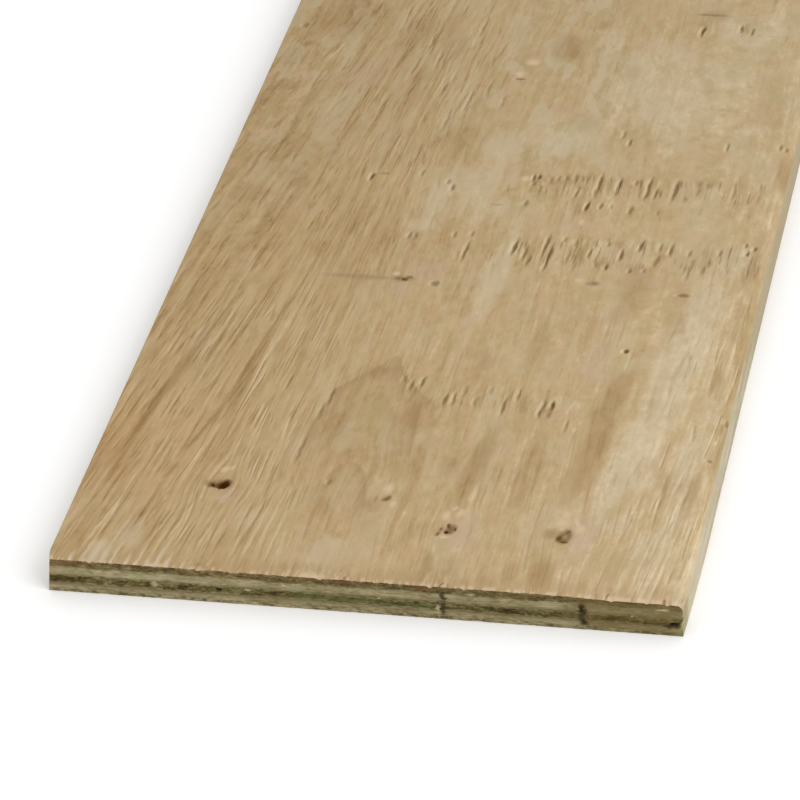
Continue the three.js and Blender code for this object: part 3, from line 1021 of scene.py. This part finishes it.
# Splinters torn out along the grain: place right and back, half length, and how dark.
torn_dashes = [
    (17.5, 375.5, 3.6, 0.95), (20.4, 376.5, 3, 0.95), (18.2, 369.4, 2.2, 0.7), (26.9, 374, 4, 0.5),
    (31, 376, 3.2, 0.4), (35.4, 377, 3.2, 0.4), (39.4, 379, 3.6, 0.4), (42.7, 363, 6, 0.6),
    (53.2, 371, 12.5, 1), (63.8, 371, 10, 0.85), (72.5, 376, 3.4, 0.5), (80, 370.5, 12, 0.85),
    (84.6, 365.5, 6.4, 0.6), (94.4, 370, 11.5, 0.85), (106.3, 371, 6, 0.4), (126, 371, 5, 0.4),
    (139, 378, 5, 0.35), (-43, 375, 5, 0.4), (-27.5, 367, 3, 0.5), (-24.4, 361, 4, 0.6),
    (50.6, 349, 5.8, 0.9), (57.7, 350, 4, 0.6), (63, 350, 3, 0.4), (73.8, 347, 4.4, 0.7),
    (88.7, 346, 3, 0.35), (5, 362, 2.6, 0.3), (-38, 310, 4, 0.5), (-34.4, 310, 3.6, 0.45),
    (-14, 313, 4, 0.5), (-5.2, 315, 3.4, 0.4), (-5.6, 296.5, 10.5, 0.7), (8.7, 295, 3, 0.3),
    (19.4, 304, 8.4, 0.85), (25.6, 299, 7.4, 0.7), (28.8, 292, 6, 0.65), (35.6, 307, 12, 0.8),
    (38.5, 296, 14, 0.95), (44.7, 314, 3, 0.45), (50.4, 312, 3.6, 0.4), (53.2, 296, 12.5, 0.55),
    (59.5, 302, 5.4, 0.6), (64.4, 291, 3, 0.55), (70, 289, 3.4, 0.7), (68, 312, 3, 0.45),
    (76, 302, 6.4, 0.75), (85, 312, 6.4, 0.8), (83, 287, 2.6, 0.7), (90, 287.5, 2.4, 0.45),
    (95, 311, 5, 0.5), (101, 310, 6.8, 0.7), (111, 307, 4, 0.5), (127, 309, 4, 0.5), (139, 318, 2.4, 0.6),
    (144, 315, 2.6, 0.7), (141, 310, 3, 0.7), (113.3, 291, 11, 0.45), (22.5, 303, 8, 0.5),
    (48.6, 297, 8, 0.4), (-3.5, 171, 6, 0.65), (-8.6, 168, 5.4, 0.5), (-13, 173, 4, 0.4),
    (10.6, 157, 6, 0.65), (14.6, 158, 6, 0.65), (19, 165, 6.4, 0.4), (26, 157, 5, 0.5),
    (31.9, 167, 3.6, 0.35), (40.4, 154, 9, 0.55), (46, 166, 6, 0.5), (59.4, 153.5, 8, 0.9),
    (64, 157, 4.8, 0.95), (63.7, 149, 3, 0.5), (-46.5, 153, 9, 0.4), (-48.6, 139, 8, 0.35),
    (-51.6, 104, 13, 0.4), (74, 140, 6, 0.4), (84.6, 547, 7, 0.95), (105.8, 552, 5, 0.7),
    (112.4, 549, 5, 0.7), (58.1, 426, 5, 0.45), (62.6, 418, 4.4, 0.6), (115.9, 418, 5, 0.55),
    (144.2, 421, 4, 0.5), (148, 419, 3, 0.5), (-24, 470, 12, 0.35), (-33, 455, 14, 0.4),
    (-41, 432, 12, 0.35), (-14, 455, 9, 0.3), (-49, 470, 12, 0.35), (-58, 500, 11, 0.4),
    (-66, 520, 12, 0.4), (-40, 540, 12, 0.35), (-83, 540, 10, 0.35),
]
# Half the width of the faintest dash and what full darkness adds to it, in millimetres, how far a
# dash tapers out past its length, and how far it leans to the right.
thinnest_dash = 0.7
dash_spread = 0.6
dash_taper = 1.12
dash_lean = 0.05

# Other scars, some of them across the grain: place right and back, half width, half length, how dark.
scars = [
    (-34.4, 266.8, 7.6, 3.6, 0.55), (-32, 266.2, 3, 2.4, 0.95), (-30.2, 268, 2.6, 2.4, 0.75),
    (-35.2, 266.8, 4, 2.8, 0.72), (-56, 266.5, 25, 3.2, 0.42), (-15.4, 263.7, 2.7, 3.4, 0.62),
    (65, 272.6, 4.8, 2.8, 0.55), (113.4, 266, 4, 2.4, 0.75), (92.5, 210.4, 1.7, 2.6, 1),
    (147, 118, 1.8, 1.8, 0.5), (150.6, 154.4, 1.4, 3.6, 0.5), (15.6, 513.8, 3, 6, 0.2),
    (86, 567, 12, 1.8, 0.6), (-9.4, 482.3, 3.8, 1.6, 0.6), (-142.7, 532.9, 2.2, 3.4, 0.5),
    (-69.6, 368, 1.6, 5.4, 0.75), (-65, 372, 4.4, 1.6, 0.4), (17.5, 349, 1.8, 4, 0.5),
    (1, 346, 5, 0.9, 0.4), (-31.5, 78.9, 1.6, 3, 0.4),
]
torn_ovals = scars + [
    (right, back, thinnest_dash + dash_spread * strength, dash_taper * half_length, strength)
    for right, back, half_length, strength in torn_dashes
]


# A mark is laid on each stretch of the sheet that it reaches: this many of its half lengths, and
# then some millimetres for its bends.
mark_reach = 1.3
mark_bend = 4


def near_zone(back, half_along, zone):
    """Whether a mark reaches into a stretch of the sheet."""
    reach = mark_reach * half_along + mark_bend
    return zone[0] - reach < back < zone[1] + reach


def off_middle(place, right, back, half_across, half_along, turned=0):
    """How far a place is from the middle of a turned oval, whose rim is at 1."""
    placed = place.node("ShaderNodeMapping", {"vector_type": "TEXTURE"}, {
        "Vector": place,
        "Location": (right, back, 0),
        "Rotation": (0, 0, -math.radians(turned)),
        "Scale": (half_across, half_along, 1),
    })
    return placed.node("ShaderNodeVectorMath", {"operation": "LENGTH"}, {0: placed}, output=1)


def stain_and_shade_marks(colour, place, zone):
    """Lays each kind of small mark over a colour, in order, the painted shade in the knot holes among them.
    """
    for tint, strength, rim, ovals in small_marks.values():
        for oval in ovals:
            if near_zone(oval[1], max(oval[2:4]), zone):
                amount = off_middle(place, *oval).eased(soft_edge, rim) * strength
                colour = colour.stained(studio_light, (tint, amount))
    return colour


def torn_marks(place, zone):
    """How deeply the face is torn, from 0 to 1."""
    # The first oval has no strength, so that a stretch without marks isn't torn.
    torn = place.oval(0, 0, 1, 1, 0)
    for right, back, half_across, half_along, strength in torn_ovals:
        if near_zone(back, half_along, zone):
            mark = place.oval(right - dash_lean * back, back, half_across, half_along, strength)
            torn = torn.at_least(mark)
    return torn


def ragged(strength, patch):
    """A stain's strength, uneven within and ragged at its rim."""
    return (strength + (patch - 0.5) * 1.3).eased(0.05, 0.50) * (0.25 + strength * 0.75)


def fray(colour, relief, grain, back, mottle):
    """Roughens the fibres just behind the front end, where the saw tore them."""
    fuzz = back.streaks(grain, 16, 5, 15, detail=3, roughness=0.7)
    frayed = back.eased(14, 1) * mottle.eased(0.42, 0.56)
    tips = back.streaks(grain, 30, 2.4, 17).eased(0.46, 0.60) * back.eased(4, 1)
    colour = colour.stained(
        studio_light,
        ((228, 208, 172), fuzz.eased(0.50, 0.62) * frayed * 0.6),
        ((132, 102, 64), fuzz.eased(0.44, 0.34) * frayed * 0.6),
        ((170, 142, 104), back.eased(15, 6) * 0.28),
        ((222, 196, 166), tips * 0.6),
    )
    return colour, relief + fuzz * frayed * 0.6


def face_finish(zone):
    """The face's wood over a stretch of the sheet, in millimetres from its front end."""
    finish, (right, back, _) = start_finish(f"face_wood_{zone[1]}")
    back = back + front_place
    grain = right.carried("grain") * (1 / mm)
    streaky = right.carried("streaky")
    chatter = right.carried("chatter")
    far = back.eased(180, 340)
    front = streaky * back.eased(160, 30)
    broken_up = far * streaky * 0.6
    fibre = back.streaks(grain, 24, 1.8, 1, detail=3)
    raised = back.streaks(grain, 50, 12, 11, detail=1).eased(0.38, 0.60)
    streak = back.streaks(grain, 110, 5.5, 5)
    band = back.streaks(grain, 90, 11, 3)
    grit = back.streaks(grain, 13, 6, 13, detail=4, roughness=0.75)
    patch = back.streaks(grain, 24, 10, 12, detail=3, roughness=0.7)
    mottle = back.streaks(grain, 50, 22, 14, detail=3)

    def furrows(across):
        """Furrows between the fibres, which are shorter far back."""
        furrow = back.streaks(across, 50, 3.8, 2, detail=3)
        short = back.streaks(across, 19, 3.6, 23, detail=3)
        return furrow + (short - furrow) * broken_up

    def threads(across):
        """Thin lines along the grain, broken here and there."""
        thread = abs(back.streaks(across, 150, 6.5, 21, detail=1) - 0.5)
        return thread.eased(0.05, 0.005) * broken

    broken = back.streaks(grain, 34, 9, 22).eased(0.49, 0.61) * streaky * (1 - far * 0.85)
    # Thin dark lines along the grain, painted shade in fine grooves, and the same lines 1 mm to the left as
    # painted highlights, as if lit from the right.
    line, painted_line_highlight = threads(grain), threads(grain + 1)
    # Furrows, and the same furrows 1.2 mm to the right: their difference is painted light and shade, bright
    # on each furrow's left flank and dark on its right flank, as if lit from the right.
    furrow, beside = furrows(grain), furrows(grain + 1.2)
    # Painted shade in the furrows where the grain is raised.
    cut = (furrow + streaky * (0.05 + far * 0.03)).eased(0.60, 0.74) * raised
    calmed = 1 - right.carried("cream").eased(0.2, 0.8) * 0.6
    painted_furrow_light = (beside - furrow) * (0.2 + raised) * calmed
    cream, brown, pink, olive = (ragged(right.carried(stain), patch) for stain in broad_stains)

    tone = 0.52 + right * (1 / 1100) + (fibre - 0.5) * (0.14 + front * 0.17) * (1 - far * 0.4)
    tone = tone + streaky * back.eased(300, 200) * 0.06
    tone = tone + (band - 0.5) * 0.18 + (streak - 0.5) * (0.14 + streaky * 0.3) * (1 + far * 0.25)
    # Painted light and shade across the furrows, and painted highlights beside the thin lines.
    tone = tone + painted_furrow_light * (0.06 + streaky * 0.45 + front * 0.12) * (1 + far * 0.15) + painted_line_highlight * 0.16
    tone = tone + (grit - 0.5) * (0.6 - streaky * 0.25) + cream * 0.12 - brown * 0.15
    tone = tone - chatter * back.streaks(grain, 40, 8, 16, detail=3).eased(0.44, 0.60) * 0.13
    tone = tone + chatter * (back.streaks(grain, 70, 9, 18, detail=1) - 0.5) * 0.4
    colour = tone.coloured(
        (0.10, from_display(128, 96, 55)),
        (0.34, from_display(176, 146, 102)),
        (0.50, from_display(191, 163, 120)),
        (0.66, from_display(201, 176, 135)),
        (0.90, from_display(229, 209, 173)),
    )
    far_blotches = 1 + back.eased(320, 440) * right.eased(80, 20) * 0.9
    blotched = (0.34 - streaky * (0.28 - far * 0.07)) * far_blotches
    orange = right.eased(-70, -125) * back.eased(170, 120) * back.eased(40, 80)
    ring = right.carried("arches") * (0.5 + streak * 0.5 + (patch - 0.5) * 1.2)
    colour = colour.stained(
        studio_light,
        # Blotches, mostly where the grain is calm.
        ((176, 157, 115), patch.eased(0.48, 0.42) * blotched),
        ((202, 170, 139), patch.eased(0.54, 0.60) * blotched),
        ((199, 183, 150), mottle.eased(0.53, 0.56) * blotched),
        # Greyer far back, and warmer near the left edge.
        ((176, 162, 132), back.eased(200, 560) * 0.14),
        ((204, 146, 98), orange * 0.12),
        # The broad stains, and the growth rings of the arches.
        ((206, 191, 162), cream * 0.5),
        ((162, 130, 86), brown * 0.48),
        ((197, 168, 144), pink * 0.45),
        ((174, 155, 106), olive * 0.5),
        ((152, 119, 78), ring * 0.65),
        # Painted shade in the furrows, and in the thin lines between the fibres.
        ((140, 108, 66), cut * (0.06 + streaky * (0.30 - front * 0.12 + far * 0.16))),
        ((152, 119, 72), line * (0.5 - front * 0.2)),
    )
    relief = 1 + fibre * 0.2 - furrow * raised * (0.3 + streaky * 0.6) - line * 0.5

    if zone[0] == 0:
        colour, relief = fray(colour, relief, grain, back, mottle)

    if zone[1] < sheet_length / mm:
        bent = right + (back.streaks(right, 10, 5, 9) - 0.5) * 2
        leaning = bent - back * dash_lean
        torn = torn_marks(leaning.flat(back), zone)
        # The torn marks again, 1.8 mm further left: a painted highlight on each dash's left flank, as if
        # lit from the right.
        painted_dash_highlight = torn_marks((leaning + 1.8).flat(back), zone)
        speckle = back.streaks(grain, 22, 2, 7, detail=1)
        torn = torn.at_least(speckle.eased(0.58, 0.80) * chatter * 0.5)
        splinter = speckle.eased(0.42, 0.26) * chatter
        colour = colour.stained(
            studio_light,
            # Painted highlight on the dashes' left flanks.
            ((228, 208, 168), painted_dash_highlight * 0.75),
            ((98, 67, 22), torn * (0.45 + fibre * 0.5 + grit * 0.5)),
            ((216, 195, 156), splinter * 0.45),
        )
        colour = stain_and_shade_marks(colour, bent.flat(back), zone)
        relief = relief - torn * 0.7 + splinter * 0.3
    return complete_finish(finish, colour, 0.72 - fibre * 0.1, relief, 0.5 * mm)


# The face is finished in stretches, each with only its own marks, so that no finish is heavy. The
# last one ends beyond the sheet. The sides are finished with the face that is rounded into them.
zone_ends = [32, 104, 140, 180, 255, 280, 324, 338, 386, 470, 570, 1300]
face_woods = [face_finish(zone) for zone in zip([0, *zone_ends], zone_ends)]
for face in face_veneer.faces:
    if face.material_index == 1:
        face.material_index = len(zone_ends)
    else:
        face_back = face.calc_center_median().y / mm
        face.material_index = sum(zone_end < face_back for zone_end in zone_ends)
lay_veneer(face_veneer, "face_veneer", [*face_woods, dark_end])


# ---- Studio ----
# A pale floor under soft light from all round, and a camera that looks down on the front end.

scene = bpy.context.scene
scene.view_settings.view_transform = "Standard"

floor_mesh = bpy.data.meshes.new("floor")
floor_grid = bmesh.new()
bmesh.ops.create_grid(floor_grid, x_segments=1, y_segments=1, size=30)
floor_grid.to_mesh(floor_mesh)
floor_grid.free()
floor = bpy.data.objects.new("floor", floor_mesh)
scene.collection.objects.link(floor)
floor.location.z = -0.2 * mm
floor_paint = bpy.data.materials.new("floor")
floor_paint.use_nodes = True
floor_surface = floor_paint.node_tree.nodes["Principled BSDF"]
floor_surface.inputs["Base Color"].default_value = (0.97, 0.97, 0.97, 1)
floor_surface.inputs["Roughness"].default_value = 0.9
floor.data.materials.append(floor_paint)

world = bpy.data.worlds.new("studio")
world.use_nodes = True
world.node_tree.nodes["Background"].inputs["Color"].default_value = (1, 1, 1, 1)
world.node_tree.nodes["Background"].inputs["Strength"].default_value = 0.86
scene.world = world

window_place = Vector((2.2, -1.9, 2.4))
lit_place = Vector((0, -0.5, 0))
window_light = bpy.data.lights.new("window", "AREA")
window_light.shape = "RECTANGLE"
window_light.size = 2.5
window_light.size_y = 2.5
window_light.energy = 55.5
window = bpy.data.objects.new("window", window_light)
window.location = window_place
window.rotation_euler = (window_place - lit_place).to_track_quat("Z", "Y").to_euler()
scene.collection.objects.link(window)

# The camera's place is counted in sheet widths from the middle of the lower front arris.
camera_azimuth = math.radians(13.3266)
camera_elevation = math.radians(33.0625)
camera_roll = math.radians(-3.7137)
camera_place = Vector((1.3164, -5.2191, 3.8886)) * sheet_width + Vector((0, front_end, 0))
camera_data = bpy.data.cameras.new("camera")
camera_data.lens = 194.4
camera_data.sensor_width = 36
camera_data.clip_end = 100
camera = bpy.data.objects.new("camera", camera_data)
scene.collection.objects.link(camera)
camera.matrix_world = (
    Matrix.Translation(camera_place)
    @ Matrix.Rotation(camera_azimuth, 4, "Z")
    @ Matrix.Rotation(math.pi / 2 - camera_elevation, 4, "X")
    @ Matrix.Rotation(camera_roll, 4, "Z")
)
scene.camera = camera
